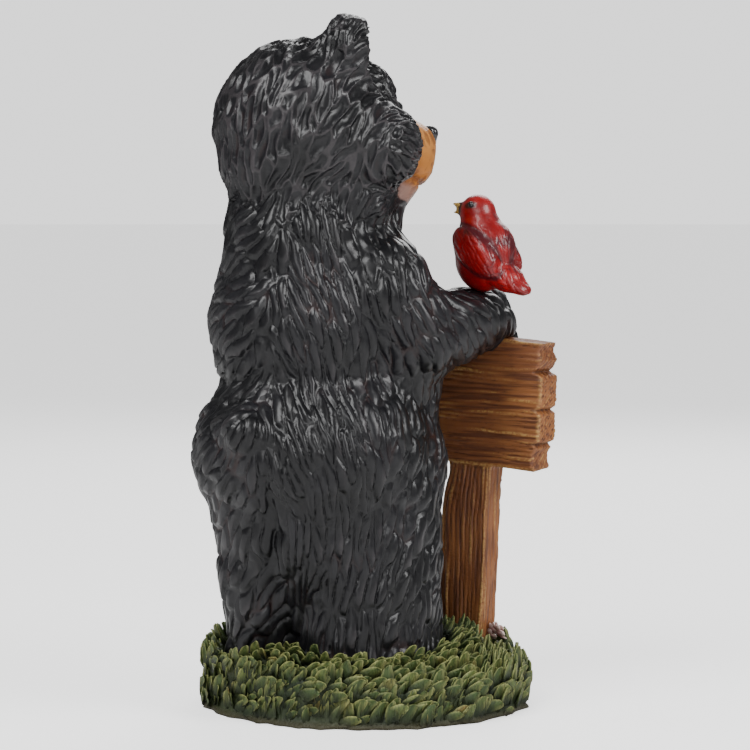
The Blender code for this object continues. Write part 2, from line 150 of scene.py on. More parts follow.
def points_of(mesh):
    flat = np.empty(len(mesh.vertices) * 3, np.float32)
    mesh.vertices.foreach_get("co", flat)
    return flat.reshape(-1, 3).astype(float)


def normals_of(mesh):
    flat = np.empty(len(mesh.vertices) * 3, np.float32)
    mesh.vertex_normals.foreach_get("vector", flat)
    return flat.reshape(-1, 3).astype(float)


def set_points(mesh, points):
    mesh.vertices.foreach_set("co", points.astype(np.float32).ravel())
    mesh.update()


def rubbed(mesh, rounds):
    """Rubs the facets off the clay. Each round pulls in and then pushes out, so it doesn't shrink."""
    points = points_of(mesh)
    ends = np.empty(len(mesh.edges) * 2, np.int32)
    mesh.edges.foreach_get("vertices", ends)
    a, b = ends.reshape(-1, 2).T
    count = len(points)
    links = (np.bincount(a, minlength=count) + np.bincount(b, minlength=count))[:, None]
    for _ in range(rounds):
        for share in (0.5, -0.53):
            total = np.stack(
                [
                    np.bincount(a, points[b, axis], count) + np.bincount(b, points[a, axis], count)
                    for axis in range(3)
                ],
                axis=1,
            )
            points = points + share * (total / links - points)
    set_points(mesh, points)


def finer(piece, levels):
    surface = piece.modifiers.new("finer", "SUBSURF")
    surface.levels = levels
    surface.render_levels = levels
    return plain(piece)


def unit(vectors):
    return vectors / np.maximum(np.linalg.norm(vectors, axis=-1, keepdims=True), 1e-9)


def local(points, place):
    inverse = np.array(place.inverted())
    return points @ inverse[:3, :3].T + inverse[:3, 3]


def ease(values, low, high):
    """Runs smoothly from 0 at low to 1 at high."""
    share = np.clip((values - low) / (high - low), 0, 1)
    return share * share * (3 - 2 * share)


def marks(points, normals, flow, sizes, seed, turn=0.0):
    """Where the tool marks lie. Middles are scattered so that no two are nearer than one mark, measured
    in lengths and widths. Gives for every point how far it is from the edge of its mark, from 0 to 1,
    its place across and along the mark, and the mark's number."""
    flow = unit(flow - (flow * normals).sum(axis=1, keepdims=True) * normals)
    across = np.cross(normals, flow)
    noise = np.random.default_rng(seed)
    angle = noise.uniform(-turn, turn, (len(points), 1))
    flow, across = (
        flow * np.cos(angle) + across * np.sin(angle),
        across * np.cos(angle) - flow * np.sin(angle),
    )
    order = noise.permutation(len(points))[: len(points) // 5]
    reach = float(sizes.max())
    keys = np.floor(points / reach).astype(int)
    cells, picked = {}, []
    for index in order:
        key = tuple(keys[index])
        near = [
            other
            for i in (-1, 0, 1)
            for j in (-1, 0, 1)
            for k in (-1, 0, 1)
            for other in cells.get((key[0] + i, key[1] + j, key[2] + k), ())
        ]
        if near:
            gap = points[near] - points[index]
            lengths = (gap @ flow[index]) / sizes[index, 0]
            widths = (gap @ across[index]) / sizes[index, 1]
            depths = (gap @ normals[index]) / sizes[index, 0]
            if (lengths**2 + widths**2 + depths**2).min() < MARK_SPREAD**2:
                continue
        cells.setdefault(key, []).append(index)
        picked.append(index)
    picked = np.array(picked)
    tree = kdtree.KDTree(len(picked))
    for slot, index in enumerate(picked):
        tree.insert(points[index], slot)
    tree.balance()
    nearest = min(NEAREST_MARKS, len(picked))
    found = np.array([[hit[1] for hit in tree.find_n(point, nearest)] for point in points])
    middle = picked[found]
    offset = points[:, None, :] - points[middle]
    along = (offset * flow[middle]).sum(axis=2) / sizes[middle, 0]
    side = (offset * across[middle]).sum(axis=2) / sizes[middle, 1]
    side = side + LOCK_BEND * np.sin(along * LOCK_WAVE)
    deep = (offset * normals[middle]).sum(axis=2) / sizes[middle, 0]
    far = np.sqrt(along**2 + side**2 + deep**2)
    rank = np.argsort(far, axis=1)
    rows = np.arange(len(points))
    first, second = rank[:, 0], rank[:, 1]
    edge = np.clip(far[rows, second] - far[rows, first], 0, 1)
    return edge, side[rows, first], along[rows, first], found[rows, first]


def lock_relief(edge, side, along):
    """A lock of fur from -1 to 0: a long smooth hump that ends in points, higher along one side, with a
    narrow groove round it."""
    hump = ease(edge, -0.04, 0.34)
    tilt = 0.26 * side + 0.20 * along
    return hump + tilt * (0.3 + 0.7 * hump) - 1.0


def scoop_relief(edge, side, along):
    """A scoop from -1 to 0, hollow between thin raised rims, as the round end of a tool leaves it."""
    rim = np.exp(-((edge / 0.12) ** 2))
    bowl = ease(edge, 0.04, 0.46)
    return 0.20 * rim - 0.72 * bowl + 0.42 * side * (0.3 + 0.7 * bowl) - 0.30 * along * bowl - 0.12


def keep(piece, **values):
    """Stores a number for every point of the mesh."""
    for name, numbers in values.items():
        store = piece.data.attributes.get(name) or piece.data.attributes.new(name, "FLOAT", "POINT")
        store.data.foreach_set("value", numbers.astype(np.float32))


def thinned(piece, triangles):
    """Drops triangles where the surface is flat, and keeps the rims."""
    now = sum(len(face.vertices) - 2 for face in piece.data.polygons)
    thin = piece.modifiers.new("thinned", "DECIMATE")
    thin.ratio = min(1, triangles / now)
    return plain(piece)


def smooth_shaded(piece):
    piece.data.polygons.foreach_set("use_smooth", [True] * len(piece.data.polygons))
    piece.data.update()


def fur_flow(points):
    """Which way the fur lies: down the body from a parting on the spine, along the arms, and from the
    nose over the head."""
    body = points - np.array(BEAR_SEAT)
    waves = 0.25 * np.sin(body[:, 2] * 60 + body[:, 0] * 40)
    parting = np.tanh((body[:, 0] + 0.003) / 0.010)
    behind = ease(body[:, 1], 0.0, 0.035)
    high = np.clip((body[:, 2] - 0.03) / 0.12, 0.12, 1)
    flow = np.zeros_like(points)
    flow[:, 2] = -1
    flow[:, 0] += 0.75 * parting * behind * high + 0.35 * waves
    flow[:, 1] += 0.25 * waves
    for arm in ("right", "left"):
        stations = [SHOULDERS[arm], ELBOWS[arm], WRISTS[arm], PAWS[arm]]
        for start, end, width in zip(stations, stations[1:], ARM_WIDTHS):
            start, end = np.array(start), np.array(end)
            share = np.clip((body - start) @ (end - start) / ((end - start) @ (end - start)), 0, 1)
            gap = np.linalg.norm(body - start - share[:, None] * (end - start), axis=1)
            weight = np.clip(1.6 - gap / width, 0, 1)[:, None]
            lie = (end - start) / np.linalg.norm(end - start) + np.array((0, 0, -0.45))
            flow = flow * (1 - weight) + lie * weight * 1.2
    head = local(points, HEAD)
    away = head - np.array((0, -0.062, -0.006))
    away[:, 1] *= 0.5
    away[:, 2] -= 0.28 * ease(head[:, 1], -0.036, 0.014)
    in_head = ease(body[:, 2], 0.250, 0.275)[:, None]
    turn = np.array(HEAD.to_3x3())
    return unit(flow) * (1 - in_head) + (unit(away) @ turn.T) * in_head


coat = skin_of("bear", "bear_coat", SKIN_VOXEL, FILLS)
rubbed(coat.data, COAT_RUBS)
finer(coat, 2)
points = points_of(coat.data)
normals = normals_of(coat.data)
head = local(points, HEAD)

# The face is pressed in before the fur: a socket round each eye, a line down from the nose and a
# mouth that turns up at its ends.
mirrored = head.copy()
mirrored[:, 0] = np.abs(head[:, 0])
from_eye = np.linalg.norm((mirrored - np.array(EYE_SPOT)) / np.array((SOCKET_WIDENING, 1, 1)), axis=1)
eyelid = np.exp(-(((from_eye - EYELID_RADIUS) / EYELID_WIDTH) ** 2))
socket = np.exp(-((from_eye / SOCKET_RADIUS) ** 2)) - 0.45 * eyelid
on_front = ease(-head[:, 1], 0.060, 0.074)
mouth_height = MOUTH_RISE + MOUTH_CURVE * head[:, 0] ** 2
lip = np.exp(-(((head[:, 2] - mouth_height) / LIP_WIDTH) ** 2)) * ease(-head[:, 1], 0.045, 0.060)
under_nose = np.exp(-((head[:, 0] / NOSE_LINE_WIDTH) ** 2)) * on_front
under_nose = under_nose * ease(head[:, 2], MOUTH_RISE, MOUTH_RISE + 0.003)
under_nose = under_nose * ease(-head[:, 2], -0.002, 0.0)
mouth = np.maximum(lip, under_nose)
pressed = SOCKET_DEPTH * socket * (head[:, 1] < 0) + MOUTH_DEPTH * mouth

# A crease runs from under the tail down between the legs.
crease_x = CREASE_FOOT_X - CREASE_LEAN * ease(points[:, 2], 0.050, 0.139)
crease = np.exp(-(((points[:, 0] - crease_x) / CREASE_WIDTH) ** 2)) * ease(points[:, 1], 0.030, 0.050)
pressed += CREASE_DEPTH * crease * (1 - ease(points[:, 2], 0.126, 0.150))
points = points - normals * pressed[:, None]
set_points(coat.data, points)
normals = normals_of(coat.data)

from_muzzle = np.linalg.norm((head - np.array(MUZZLE_MIDDLE)) / np.array(MUZZLE_REACH), axis=1)
muzzle = 1 - ease(from_muzzle, 0.92, 1.16)
muzzle = muzzle * ease(-head[:, 1], 0.030, 0.042)
in_head = ease(points[:, 2], 0.275, 0.300)[:, None]
sizes = np.array(LOCK_SIZE) * (1 - in_head) + np.array(HEAD_LOCK_SIZE) * in_head
face = ease(-head[:, 1], 0.012, 0.045)[:, None] * in_head
on_ear = ease(np.abs(head[:, 0]), 0.018, 0.026) * ease(head[:, 2], 0.030, 0.038)
behind = ease(points[:, 1], 0.040, 0.075) * (1 - ease(points[:, 0], -0.020, 0.010))
behind = behind * (1 - in_head[:, 0])
sizes = sizes * (1 - 0.38 * face) * (1 - 0.35 * on_ear)[:, None]
sizes = sizes * (1 + behind[:, None] * np.array((0.35, -0.30)))
edge, side, along, number = marks(points, normals, fur_flow(points), sizes, COAT_SEED, LOCK_TURN)
mark_height = np.bincount(number, points[:, 2]) / np.maximum(np.bincount(number), 1)
bare = np.clip(1 - 0.85 * muzzle, 0, 1) * (1 - np.exp(-((from_eye / 0.0065) ** 2)))
on_head = mark_height[number] > HEAD_FROM
relief = np.where(on_head, scoop_relief(edge, side, along), lock_relief(edge, side, along))
calm = np.linalg.norm(points - np.array(CALM_MIDDLE), axis=1) / CALM_REACH
bare = bare * (1 - CALM_SHARE * np.exp(-(calm**2)))
points = points + normals * (LOCK_DEPTH * relief * bare + LOCK_RISE)[:, None]
crest = np.clip(np.where(on_head, 1.0, 0.86) + relief * 0.75, 0, 1) * (1 - 0.95 * mouth)
chin = muzzle * ease(-head[:, 2], CHIN_FALL, CHIN_FALL + 0.003)
chin_foot = CHIN_FALL + CHIN_HEIGHT
muzzle = muzzle * (1 - ease(-head[:, 2], chin_foot, chin_foot + 0.003))
muzzle = muzzle * (0.72 + 0.28 * ease(-head[:, 1], 0.050, 0.072))


def clear_of_block(points, place, half, gap):
    """Moves points that are inside a block out of its nearest face."""
    inside = local(points, place)
    depth = np.array(half) + gap - np.abs(inside)
    buried = (depth > 0).all(axis=1)
    face = np.argmin(depth, axis=1)
    moved = inside.copy()
    rows = np.nonzero(buried)[0]
    sign = np.where(inside[rows, face[rows]] < 0, -1, 1)
    moved[rows, face[rows]] += sign * depth[rows, face[rows]]
    matrix = np.array(place)
    world = moved @ matrix[:3, :3].T + matrix[:3, 3]
    return np.where(buried[:, None], world, points)


BOARD_ROOM = 0.0002
SIGN_LEAN = math.radians(3.3)
BOARD_HALF = (0.056, 0.01025, 0.0385)
POST_FOOT = Vector((-0.027, -0.07025, 0.028))
SIGN = Matrix.Translation(POST_FOOT) @ Matrix.Rotation(-SIGN_LEAN, 4, "Y")
BOARD_MIDDLE = (0.009, 0, 0.1465)
BOARD = SIGN @ Matrix.Translation(BOARD_MIDDLE)
points = clear_of_block(points, BOARD, BOARD_HALF, BOARD_ROOM)
points = np.clip(points, np.array(CAD_BOX[0]) + BOX_ROOM, np.array(CAD_BOX[1]) - BOX_ROOM)
set_points(coat.data, points)
keep(coat, crest=crest, muzzle=muzzle, chin=chin)
thinned(coat, COAT_TRIANGLES)
smooth_shaded(coat)


class Value:
    """A number that varies over a surface. Sums and products of it become Math nodes."""

    def __init__(self, network, socket):
        self.network = network
        self.socket = socket

    def maths(self, operation, *others):
        return self.network.node("ShaderNodeMath", {"operation": operation}, dict(enumerate(others)))

    def __add__(self, other):
        return self.maths("ADD", self, other)

    def __radd__(self, other):
        return self.maths("ADD", other, self)

    def __sub__(self, other):
        return self.maths("SUBTRACT", self, other)

    def __rsub__(self, other):
        return self.maths("SUBTRACT", other, self)

    def __mul__(self, other):
        return self.maths("MULTIPLY", self, other)

    def __rmul__(self, other):
        return self.maths("MULTIPLY", other, self)

    def ease(self, low, high):
        limits = {"Value": self, "From Min": low, "From Max": high}
        return self.network.node("ShaderNodeMapRange", {"interpolation_type": "SMOOTHSTEP"}, limits)


class Network:
    """A tree of nodes. node() adds any node by its type, its settings and what its sockets take."""

    def __init__(self, tree):
        self.tree = tree

    def node(self, kind, settings, inputs, out=0):
        made = self.tree.nodes.new(kind)
        for key, value in settings.items():
            setattr(made, key, value)
        for key, value in inputs.items():
            self.feed(made.inputs[key], value)
        return Value(self, made.outputs[out])

    def feed(self, socket, value):
        if isinstance(value, Value):
            self.tree.links.new(value.socket, socket)
        else:
            socket.default_value = value


class Finish(Network):
    """One paint finish, laid on a piece with worn_by()."""

    def __init__(self, name):
        self.material = bpy.data.materials.new(name)
        self.material.use_nodes = True
        super().__init__(self.material.node_tree)
        self.shader = self.tree.nodes["Principled BSDF"]

    def place(self, stretch=(1, 1, 1), turn=(0, 0, 0)):
        spot = self.node("ShaderNodeTexCoord", {}, {}, "Object")
        return self.node("ShaderNodeMapping", {}, {"Vector": spot, "Rotation": turn, "Scale": stretch})

    def stored(self, name):
        return self.node("ShaderNodeAttribute", {"attribute_name": name}, {}, "Fac")

    def noise(self, scale, stretch=(1, 1, 1), detail=3, turn=(0, 0, 0)):
        inputs = {"Vector": self.place(stretch, turn), "Scale": scale, "Detail": detail}
        return self.node("ShaderNodeTexNoise", {}, inputs)

    def mix(self, share, low, high):
        colours = {0: share, 6: self.colour(low), 7: self.colour(high)}
        return self.node("ShaderNodeMix", {"data_type": "RGBA"}, colours, 2)

    def colour(self, value):
        return value if isinstance(value, Value) else (*value, 1)

    def bump(self, height, depth, strength=1.0):
        inputs = {"Height": height, "Distance": depth, "Strength": strength}
        return self.node("ShaderNodeBump", {}, inputs)

    def worn_by(self, piece, **sockets):
        for name, value in sockets.items():
            given = self.colour(value) if name.endswith("Color") else value
            self.feed(self.shader.inputs[name.replace("_", " ")], given)
        piece.data.materials.clear()
        piece.data.materials.append(self.material)


fur_paint = Finish("black_fur_paint")
rim = fur_paint.stored("crest")
patches = fur_paint.noise(28, detail=4)
specks = fur_paint.noise(420, detail=2)
strands = fur_paint.noise(900, stretch=(1, 1, 0.16), detail=2)
black = fur_paint.mix(patches.ease(0.40, 0.62), (0.0045, 0.0045, 0.0055), (0.0100, 0.0098, 0.0120))
warm = (1 - rim.ease(0.15, 0.55)) * patches.ease(0.50, 0.66)
black = fur_paint.mix(warm * 0.6, black, (0.030, 0.010, 0.008))
brushed = rim.ease(0.84, 1.0) * (specks * 0.7 + 0.3) * patches.ease(0.30, 0.62)
black = fur_paint.mix(brushed * 0.58, black, (0.090, 0.078, 0.082))
on_muzzle = fur_paint.stored("muzzle")
tan = fur_paint.mix(patches.ease(0.35, 0.65), (0.44, 0.155, 0.026), (0.56, 0.235, 0.055))
tan = fur_paint.mix((1 - rim.ease(0.35, 0.7)) * 0.7, tan, (0.17, 0.050, 0.013))
tan = fur_paint.mix(1 - on_muzzle.ease(0.55, 0.98), tan, (0.085, 0.026, 0.010))
tan = fur_paint.mix(fur_paint.stored("chin") * 0.8, tan, (0.30, 0.185, 0.155))
coat_colour = fur_paint.mix(on_muzzle.ease(0.30, 0.62), black, tan)
fur_paint.worn_by(
    coat,
    Base_Color=coat_colour,
    Roughness=0.31 + 0.08 * specks + 0.08 * on_muzzle,
    Specular_IOR_Level=0.38,
    Normal=fur_paint.bump(strands * 0.7 + specks * 0.3, 0.00025, 0.35),
    Coat_Weight=0.12,
    Coat_Roughness=0.26,
)
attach(coat, "root")
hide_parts("bear")

# The nose, the eyes and the claws belong to the bear's casting and are painted over in gloss black.
# The nose is a rounded pad with two nostrils. Each eye is a bead in its socket, and each claw a
# short horn that curves down from the fur.
NOSE_PLACE = HEAD @ Matrix.Translation((0, -0.0762, 0.0008))
NOSE_REACH = (0.0112, 0.0050, 0.0072)
EYE_STANDS_BACK = 0.0012
EYE_FLATNESS = 0.92
CLAWS_A_ROW = 4
CLAW_LENGTH = 0.0095
CLAW_WIDTH = 0.0021
CLAW_TIP = 0.0003
CLAW_SIDES = 10
PAW_AHEAD = (0, -0.35, -0.85)
FOOT_AHEAD = (0, -0.90, -0.10)
CLAW_ROWS = {
    "right_paw": ((-0.050, -0.1110, 0.173), PAW_AHEAD, 0.0070, 0.001),
    "left_paw": ((-0.004, -0.1100, 0.171), PAW_AHEAD, 0.0068, 0.001),
    "right_foot": ((-0.024, -0.0560, 0.019), FOOT_AHEAD, 0.0080, 0.005),
    "left_foot": ((0.030, -0.0580, 0.019), FOOT_AHEAD, 0.0080, 0.005),
}


def shape_from(name, points, faces):
    mesh = bpy.data.meshes.new(name)
    mesh.from_pydata([tuple(point) for point in points], [], faces)
    shape = bmesh.new()
    shape.from_mesh(mesh)
    bmesh.ops.recalc_face_normals(shape, faces=shape.faces)
    shape.to_mesh(mesh)
    shape.free()
    piece = bpy.data.objects.new(name, mesh)
    bpy.context.scene.collection.objects.link(piece)
    smooth_shaded(piece)
    return piece


def ring_skin(rings, around):
    """Faces of a closed skin over rings of points, with a point at each end."""
    faces = []
    for ring in range(rings - 1):
        for step in range(around):
            nearby = (step + 1) % around
            low = 1 + ring * around
            faces.append((low + step, low + nearby, low + around + nearby, low + around + step))
    last = 1 + rings * around
    for step in range(around):
        nearby = (step + 1) % around
        faces.append((0, 1 + nearby, 1 + step))
        faces.append((last, last - around + step, last - around + nearby))
    return faces


def turned_points(path, widths, around, flat=1.0):
    """Rings of points round a bent path, for a horn, a beak or a stem. The ends are points."""
    path = np.array(path, float)
    rows = [path[0]]
    for index in range(1, len(path) - 1):
        ahead = Vector(path[index + 1] - path[index - 1]).normalized()
        place = ahead.to_track_quat("Z", "Y").to_matrix()
        for step in range(around):
            angle = 2 * math.pi * step / around
            spot = Vector((math.cos(angle), math.sin(angle) * flat, 0)) * widths[index - 1]
            rows.append(path[index] + np.array(place @ spot))
    rows.append(path[-1])
    return rows


def pad(name, place, reach, dent):
    """A closed rounded pad with dents, given as spots, sizes and depths in shares of its reach."""
    rounded = bmesh.new()
    bmesh.ops.create_icosphere(rounded, subdivisions=5, radius=1)
    mesh = bpy.data.meshes.new(name)
    rounded.to_mesh(mesh)
    rounded.free()
    points = dent(points_of(mesh))
    set_points(mesh, points * np.array(reach))
    mesh.transform(place)
    piece = bpy.data.objects.new(name, mesh)
    bpy.context.scene.collection.objects.link(piece)
    smooth_shaded(piece)
    return piece


def nose_shape(points):
    """Wider above, with a nostril at each side and a groove down the middle."""
    taper = 1 + 0.22 * points[:, 2]
    points[:, 0] *= taper
    nostril = np.abs(points[:, 0]) - 0.52
    dent = np.exp(-((nostril / 0.17) ** 2 + ((points[:, 2] + 0.12) / 0.22) ** 2)) * (points[:, 1] < 0)
    groove = np.exp(-((points[:, 0] / 0.08) ** 2)) * ease(-points[:, 2], -0.1, 0.3)
    points[:, 1] += 0.55 * dent + 0.20 * groove * (points[:, 1] < 0)
    return points


gloss_black = Finish("gloss_black_paint")
nose_grain = gloss_black.noise(700, detail=2)
nose_black = gloss_black.mix(nose_grain.ease(0.3, 0.7), (0.008, 0.008, 0.009), (0.022, 0.022, 0.024))
GLOSS = {
    "Base_Color": nose_black,
    "Roughness": 0.16 + 0.10 * nose_grain,
    "Normal": gloss_black.bump(nose_grain, 0.0002, 0.5),
    "Coat_Weight": 0.5,
}
nose = pad("bear_nose", NOSE_PLACE, NOSE_REACH, nose_shape)
eyes = [
    pad(
        f"bear_eye_{side}",
        HEAD @ Matrix.Translation((aside * EYE_SPOT[0], EYE_SPOT[1] + EYE_STANDS_BACK, EYE_SPOT[2])),
        (EYE_RADIUS, EYE_RADIUS, EYE_RADIUS * EYE_FLATNESS),
        lambda points: points,
    )
    for side, aside in (("right", -1), ("left", 1))
]


def claw_row(name, root, ahead, spacing, drop):
    """A row of claws. Each is a short horn that leaves the fur at its root and bends down."""
    rows, faces = [], []
    for number in range(CLAWS_A_ROW):
        aside = (number - (CLAWS_A_ROW - 1) / 2) * spacing
        start = BEAR_SEAT + Vector(root) + Vector((aside, 0, 0))
        start = start - Vector(ahead) * abs(aside) * 0.25
        path = []
        for step in range(7):
            share = step / 6
            down = -drop * share**2
            path.append(start + Vector(ahead) * CLAW_LENGTH * share + Vector((0, 0, down)))
        widths = [CLAW_WIDTH * (1 - (step / 6) ** 1.6) + CLAW_TIP for step in range(1, 6)]
        first = len(rows)
        rows += turned_points(path, widths, CLAW_SIDES)
        faces += [tuple(first + corner for corner in face) for face in ring_skin(5, CLAW_SIDES)]
    return finer(shape_from(name, rows, faces), 1)


claws = [claw_row(f"claws_{limb}", *row) for limb, row in CLAW_ROWS.items()]
for piece in (nose, *eyes, *claws):
    gloss_black.worn_by(piece, **GLOSS)
    smooth_shaded(piece)
    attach(piece, "root")

# The grass mound is one casting. Its whole side and top are carved as small leaf lobes that overlap
# like shingles and lean up to the right. Its green paint is darkened between the lobes and at their bases
# as painted shade, with a painted highlight on each rim.
MOUND_SHRINK = 0.0036
MOUND_REACH = 0.0978
LOBE_LENGTH = 0.0110
LOBE_WIDTH = 0.0070
LOBE_THICKNESS = 0.0017
LOBE_SPACING = 0.0035
LOBE_SEED = 11
MOUND_RUBS = 30
GRASS_FROM = 0.0020


def leaf_lobe():
    """One lobe: a bent petal, hollow in front between raised rims, closed behind."""
    rows, rims, rises = [(0, 0, -0.001)], [0], [0]
    profile = ((-1.0, -0.60), (0.0, 0.25), (1.0, -0.45), (0.62, 0.60), (-0.62, 0.60))
    shares = (0.0, 0.18, 0.38, 0.58, 0.76, 0.90)
    for share in shares:
        width = LOBE_WIDTH / 2 * math.sin(math.pi * (0.20 + 0.70 * share)) ** 0.6
        bend = LOBE_WIDTH * 0.60 * share**2
        for across, out in profile:
            x = across * width + bend
            y = out * LOBE_THICKNESS * (1 - 0.5 * share) + 0.0010 * share**2
            rows.append((x, y, share * LOBE_LENGTH))
            rims.append(1.0 if out < 0 else 0.0)
            rises.append(share)
    rows.append((LOBE_WIDTH * 0.66, 0.0008, LOBE_LENGTH * 0.98))
    rims.append(1.0)
    rises.append(1.0)
    lobe = shape_from("leaf_lobe", rows, ring_skin(len(shares), len(profile)))
    keep(lobe, rim=np.array(rims), rise=np.array(rises))
    return lobe


def lobes_over(mound, lobe, paint):
    """Scatters the lobes evenly over the mound and joins them with it."""
    tree = bpy.data.node_groups.new("leaf_lobes", "GeometryNodeTree")
    sockets = tree.interface
    sockets.new_socket("Mound", in_out="INPUT", socket_type="NodeSocketGeometry")
    given = {
        "Lobe": ("NodeSocketObject", lobe),
        "Spacing": ("NodeSocketFloat", LOBE_SPACING),
        "Seed": ("NodeSocketInt", LOBE_SEED),
        "Paint": ("NodeSocketMaterial", paint),
    }
    names = {}
    for name, (kind, _) in given.items():
        names[name] = sockets.new_socket(name, in_out="INPUT", socket_type=kind).identifier
    sockets.new_socket("Grass", in_out="OUTPUT", socket_type="NodeSocketGeometry")
    net = Network(tree)
    entry = tree.nodes.new("NodeGroupInput")
    given_by = {socket.name: Value(net, socket) for socket in entry.outputs if socket.name}

    def random(low, high, seed):
        return net.node("FunctionNodeRandomValue", {}, {2: low, 3: high, "Seed": seed}, 1)

    spot = net.node("GeometryNodeInputPosition", {}, {})
    lift = net.node("GeometryNodeInputNormal", {}, {})
    x, y, z = (net.node("ShaderNodeSeparateXYZ", {}, {0: spot}, axis) for axis in "XYZ")
    above_foot = z.maths("GREATER_THAN", z, GRASS_FROM)
    facing = net.node("ShaderNodeSeparateXYZ", {}, {0: lift}, "Z")
    faces_out = facing.maths("GREATER_THAN", facing, -0.4)
    scatter = {
        "Mesh": given_by["Mound"],
        "Selection": above_foot * faces_out,
        "Distance Min": given_by["Spacing"],
        "Density Max": 200000.0,
        "Seed": given_by["Seed"],
    }
    dots = net.node("GeometryNodeDistributePointsOnFaces", {"distribute_method": "POISSON"}, scatter)
    low = z.ease(0.020, 0.040)
    lean = 0.20 + 0.55 * low + random(-0.18, 0.18, 1)
    aside = random(-0.55, 0.95, 2)
    turn = y.maths("ARCTAN2", y, x) + math.pi / 2 + random(-0.45, 0.45, 3)
    # The lobe first leans out, then aside, and then turns to face away from the middle.
    pose = net.node("ShaderNodeCombineXYZ", {}, {0: lean, 1: aside, 2: turn})
    size = random(0.66, 1.30, 4) * (1 - 0.15 * low)
    shape = net.node("GeometryNodeObjectInfo", {}, {"Object": given_by["Lobe"]}, "Geometry")
    posed = {"Points": dots, "Instance": shape, "Rotation": pose, "Scale": size}
    lobes = net.node("GeometryNodeInstanceOnPoints", {}, posed)
    tone = {"Geometry": lobes, "Name": "tone", 3: random(0.0, 1.0, 5)}
    lobes = net.node("GeometryNodeStoreNamedAttribute", {"domain": "INSTANCE"}, tone)
    both = tree.nodes.new("GeometryNodeJoinGeometry")
    tree.links.new(lobes.socket, both.inputs[0])
    tree.links.new(given_by["Mound"].socket, both.inputs[0])
    real = net.node("GeometryNodeRealizeInstances", {}, {0: Value(net, both.outputs[0])})
    painted = net.node("GeometryNodeSetMaterial", {}, {"Geometry": real, "Material": given_by["Paint"]})
    leave = tree.nodes.new("NodeGroupOutput")
    tree.links.new(painted.socket, leave.inputs[0])
    scattered = mound.modifiers.new("leaf_lobes", "NODES")
    scattered.node_group = tree
    for name, (_, value) in given.items():
        scattered[names[name]] = value
    plain(mound)
    bpy.data.objects.remove(lobe)


mound = skin_of("grass_base", "grass_mound", SKIN_VOXEL)
rubbed(mound.data, MOUND_RUBS)
points = points_of(mound.data)
normals = normals_of(mound.data)
above = ease(points[:, 2], 0.0004, 0.004)
points = points - normals * (MOUND_SHRINK * above)[:, None]
points[:, 2] = np.maximum(points[:, 2], 0)
set_points(mound.data, points)
count = len(points)
keep(mound, rim=np.zeros(count), rise=np.full(count, 0.15), tone=np.full(count, 0.5))
smooth_shaded(mound)

grass_paint = Finish("green_grass_paint")
tone = grass_paint.stored("tone")
rise = grass_paint.stored("rise")
lobe_rim = grass_paint.stored("rim")
moss = grass_paint.noise(34, detail=4)
fine = grass_paint.noise(900, stretch=(1, 1, 0.16), detail=2)
# Painted shade: the dark green laid on the mound between the lobes and at the lobe bases.
shaded_green = grass_paint.mix(moss.ease(0.35, 0.65), (0.011, 0.022, 0.006), (0.026, 0.038, 0.010))
leaf_green = grass_paint.mix(tone, (0.042, 0.078, 0.017), (0.128, 0.166, 0.038))
dry = moss.ease(0.54, 0.70) * tone.ease(0.45, 0.8)
leaf_green = grass_paint.mix(dry, leaf_green, (0.19, 0.125, 0.030))
leaf_green = grass_paint.mix((1 - fine.ease(0.38, 0.55)) * 0.55, leaf_green, (0.026, 0.044, 0.012))
# Painted shade: each lobe runs from the dark green at its base to leaf green at its tip.
green = grass_paint.mix(rise.ease(0.10, 0.80), shaded_green, leaf_green)
# Painted highlight: a pale yellow-green on the lobe rims, strongest towards their tips.
lit = (lobe_rim * rise).ease(0.15, 0.80) * (fine * 0.9 + 0.30) * tone.ease(-0.5, 0.6)
green = grass_paint.mix(lit, green, (0.34, 0.35, 0.115))
height = grass_paint.node("ShaderNodeSeparateXYZ", {}, {0: grass_paint.place()}, "Z")
green = grass_paint.mix((1 - height.ease(0.0010, 0.0050)) * 0.75, green, (0.045, 0.036, 0.014))
grass_look = {
    "Base_Color": green,
    "Roughness": 0.48 + 0.20 * fine,
    "Normal": grass_paint.bump(fine, 0.0011, 1.0),
}
grass_paint.worn_by(mound, **grass_look)
lobes_over(mound, leaf_lobe(), grass_paint.material)
points = points_of(mound.data)
radius = np.linalg.norm(points[:, :2], axis=1)
points[:, :2] *= np.minimum(1, MOUND_REACH / np.maximum(radius, 1e-6))[:, None]
points[:, 2] = np.maximum(points[:, 2], 0)
set_points(mound.data, points)
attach(mound, "root")
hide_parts("grass_base")

# The sign is one casting made to look like a rough plank on a post. Its grain is cut along the plank
# and the post, its ends are notched, and it is brown, with a painted ochre highlight over the ridges
# and edges and painted shade in the grooves and notches.
GRAIN_PITCH = 0.0029
GRAIN_RUN = 0.060
GRAIN_DEPTH = 0.0012
GRAIN_RISE = 0.0006
WANDER_WIDTH = 0.020
RIPPLE_RUN = 0.014
RIPPLE_WIDTH = 0.007
FADE_RUN = 0.030
SWELL_RUN = 0.050
SIGN_VOXEL = 0.00125
SIGN_TRIANGLES = 190000
BOARD_FROM = 0.1075
POST_HALF = (0.0145, 0.00925)
NOTCH_RISES = (0.0202, -0.0023, -0.0224)
NOTCH_DEPTH = 0.0035
POST_SPREAD = 0.0030
NOTCH_REACH = 0.0022


def near_edge(inside, half):
    """How close a point is to the nearest long edge of a block, from its two nearest faces."""
    return np.sort(np.abs(np.array(half) - np.abs(inside)), axis=1)[:, 1]


